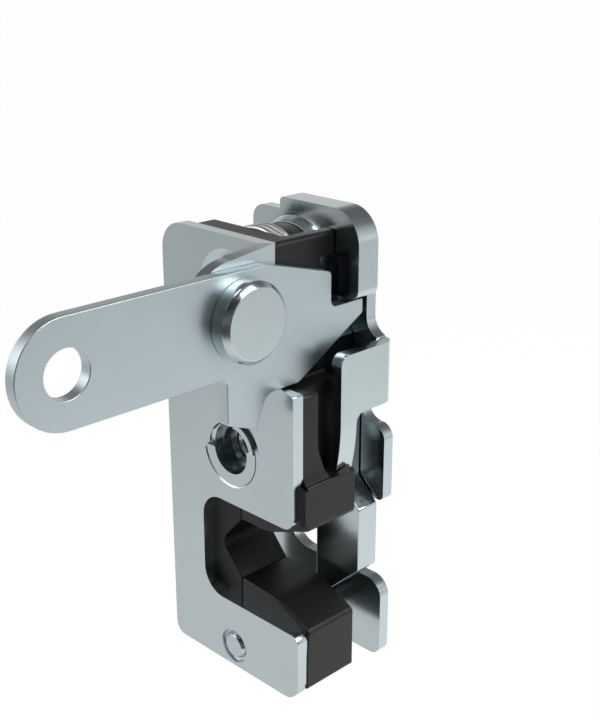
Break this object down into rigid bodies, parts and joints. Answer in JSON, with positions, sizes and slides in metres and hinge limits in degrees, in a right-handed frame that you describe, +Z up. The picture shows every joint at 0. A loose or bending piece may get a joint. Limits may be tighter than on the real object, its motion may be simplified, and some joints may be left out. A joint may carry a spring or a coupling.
{
  "type": "rotary latch",
  "caption": "Two-plate rotary latch with a hook-shaped rotor in a sideways mouth, a pawl, a plastic housing and an upright side lever with a cable eye.",
  "frame": {"origin": "on the rotor's axis, at the middle of the rotor bushing's thread", "axes": "+Z up the plates, +X towards the open mouth, +Y from the front plate to the back plate; the release lever points towards -Y"},
  "size_m": [0.0296, 0.0634, 0.0751],
  "materials": {
    "zinc_steel": "zinc plated, satin",
    "black_plastic": "moulded, fine satin",
    "soft_insert": "moulded, satin",
    "spring_steel": "drawn wire, bright"
  },
  "bodies": {
    "frame": {"front_plate": "zinc_steel", "back_plate": "zinc_steel", "housing": "black_plastic", "bumper": "soft_insert", "lever_rivet": "zinc_steel", "rotor_bushing": "zinc_steel", "pawl_bushing": "zinc_steel", "lower_rivet": "zinc_steel", "rotor_washer": "black_plastic", "pawl_washer": "black_plastic", "rotor_spring": "spring_steel", "pawl_spring": "spring_steel"},
    "rotor": {"rotor": "zinc_steel"},
    "pawl": {"pawl": "zinc_steel"},
    "lever": {"release_lever": "zinc_steel"}
  },
  "joints": [
    {"name": "rotor_open", "type": "hinge", "parent": "frame", "child": "rotor", "pos_m": [0, 0, 0], "axis": [0, -1, 0], "range_deg": [0, 60]},
    {"name": "pawl_release", "type": "hinge", "parent": "frame", "child": "pawl", "pos_m": [0, 0, 0.026], "axis": [0, -1, 0], "range_deg": [0, 11.2]},
    {"name": "lever_pull", "type": "hinge", "parent": "frame", "child": "lever", "pos_m": [0.00955, -0.01655, 0.02505], "axis": [1, 0, 0], "range_deg": [0, 5.5], "stiffness_Nm_per_rad": 0.02, "springref_deg": -20.05}
  ],
  "couplings": [
    {"joint": "pawl_release", "follows": "rotor_open", "ratio": 0.1866},
    {"joint": "lever_pull", "follows": "rotor_open", "ratio": 0.0916}
  ]
}
